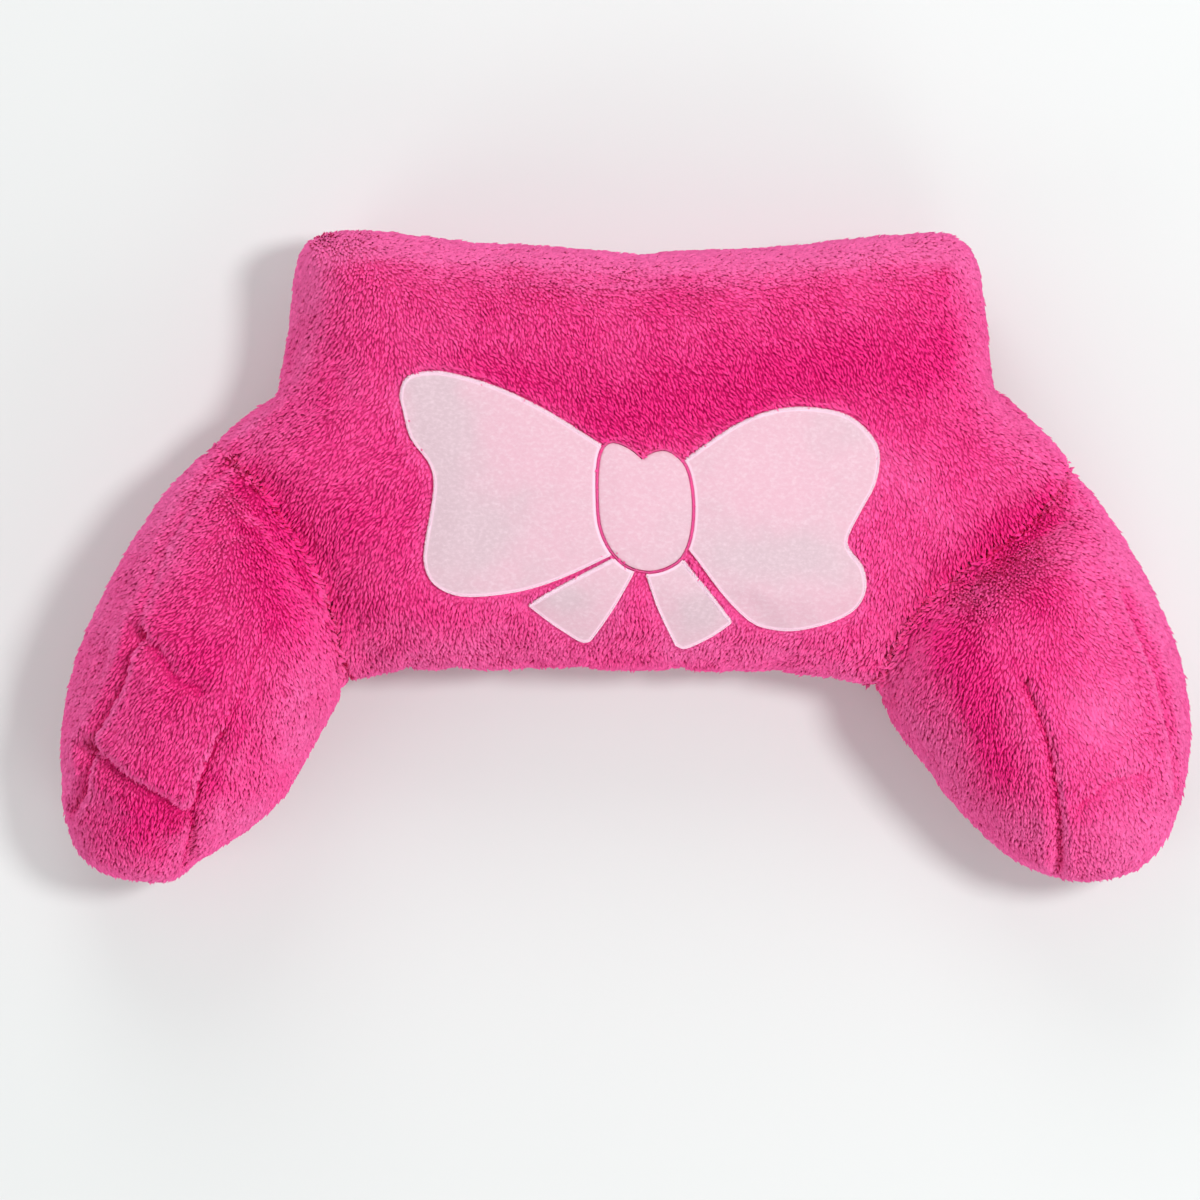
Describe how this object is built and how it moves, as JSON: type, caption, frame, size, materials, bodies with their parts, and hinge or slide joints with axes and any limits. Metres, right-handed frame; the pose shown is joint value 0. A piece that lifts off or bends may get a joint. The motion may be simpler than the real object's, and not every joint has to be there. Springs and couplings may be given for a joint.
{
  "type": "cuddle cushion",
  "caption": "Filled backrest cushion with a wide back, two fat arms splayed outward and a bow applique on its front, lying on its back.",
  "frame": {"origin": "under the middle of the cushion, on the surface that it lies on", "axes": "+X to the right as the face is seen, along the long side; +Y from the lap toward the top edge; +Z out of the face"},
  "size_m": [0.7802, 0.4512, 0.1867],
  "materials": {
    "fleece": "hot-pink long-pile fleece, clumped and soft",
    "velvet": "pale-pink short-pile velvet"
  },
  "bodies": {
    "root": {"back_rest": "fleece", "left_arm": "fleece", "right_arm": "fleece", "bow_knot": "velvet", "bow_left_loop": "velvet", "bow_right_loop": "velvet", "bow_left_tail": "velvet", "bow_right_tail": "velvet"}
  },
  "joints": []
}
